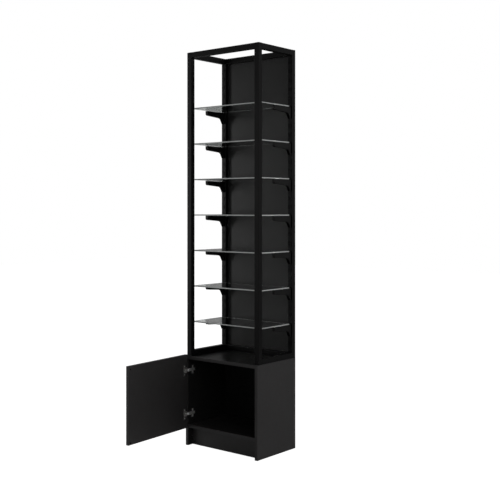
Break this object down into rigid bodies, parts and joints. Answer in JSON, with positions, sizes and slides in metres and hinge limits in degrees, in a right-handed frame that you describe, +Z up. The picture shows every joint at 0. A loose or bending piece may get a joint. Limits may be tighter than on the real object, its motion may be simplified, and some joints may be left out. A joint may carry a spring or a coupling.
{
  "type": "wall mounted showcase",
  "caption": "Tall open showcase: square-tube steel frame with glass shelves on hooked brackets and a dark back panel, standing on a small cabinet with one hinged door.",
  "frame": {"origin": "middle of the underside of the plinth board, on the floor, in the showcase's plane of symmetry", "axes": "+X to the right as one faces the front, +Y to the back, towards the wall, +Z up"},
  "size_m": [0.5011, 0.8517, 2.2],
  "materials": {
    "cabinet_board": "black melamine-faced board, fine matt grain",
    "display_panel": "black melamine-faced board, matt",
    "frame_steel": "black fine-texture powder coat",
    "bracket_steel": "black powder coat",
    "shelf_glass": "clear float glass with polished edges",
    "clear_pad": "clear soft vinyl",
    "black_plastic": "moulded black plastic",
    "felt": "black felt",
    "beech": "plain beech dowel",
    "plated_steel": "nickel-plated steel"
  },
  "bodies": {
    "showcase": {"left_side": "cabinet_board", "right_side": "cabinet_board", "cabinet_top": "cabinet_board", "cabinet_bottom": "cabinet_board", "plinth": "cabinet_board", "cabinet_back": "cabinet_board", "cam_locks": "plated_steel", "cam_bolts": "plated_steel", "dowels": "beech", "front_left_post": "frame_steel", "front_right_post": "frame_steel", "back_left_post": "frame_steel", "back_right_post": "frame_steel", "top_front_rail": "frame_steel", "top_back_rail": "frame_steel", "top_left_rail": "frame_steel", "top_right_rail": "frame_steel", "bottom_left_rail": "frame_steel", "bottom_right_rail": "frame_steel", "bottom_back_rail": "frame_steel", "post_caps": "black_plastic", "back_panel": "display_panel", "panel_tabs": "frame_steel", "panel_screws": "plated_steel", "frame_bolts": "plated_steel", "rivet_nuts": "plated_steel", "bracket_left_1": "bracket_steel", "bracket_right_1": "bracket_steel", "glass_shelf_1": "shelf_glass", "bracket_left_2": "bracket_steel", "bracket_right_2": "bracket_steel", "glass_shelf_2": "shelf_glass", "bracket_left_3": "bracket_steel", "bracket_right_3": "bracket_steel", "glass_shelf_3": "shelf_glass", "bracket_left_4": "bracket_steel", "bracket_right_4": "bracket_steel", "glass_shelf_4": "shelf_glass", "bracket_left_5": "bracket_steel", "bracket_right_5": "bracket_steel", "glass_shelf_5": "shelf_glass", "bracket_left_6": "bracket_steel", "bracket_right_6": "bracket_steel", "glass_shelf_6": "shelf_glass", "bracket_left_7": "bracket_steel", "bracket_right_7": "bracket_steel", "glass_shelf_7": "shelf_glass", "shelf_pads": "clear_pad", "hinge_plate_lower": "plated_steel", "hinge_plate_upper": "plated_steel", "hinge_arm_lower": "plated_steel", "hinge_arm_upper": "plated_steel", "plate_screws": "plated_steel"},
    "door": {"door_panel": "cabinet_board", "hinge_cup_lower": "plated_steel", "hinge_cup_upper": "plated_steel", "hinge_pins": "plated_steel", "cup_screws": "plated_steel", "door_bumpers": "felt"}
  },
  "joints": [
    {"name": "door_hinge", "type": "hinge", "parent": "showcase", "child": "door", "pos_m": [-0.2412, -0.06, 0.3], "axis": [0, 0, -1], "range_deg": [-86.7, 18.3]}
  ]
}
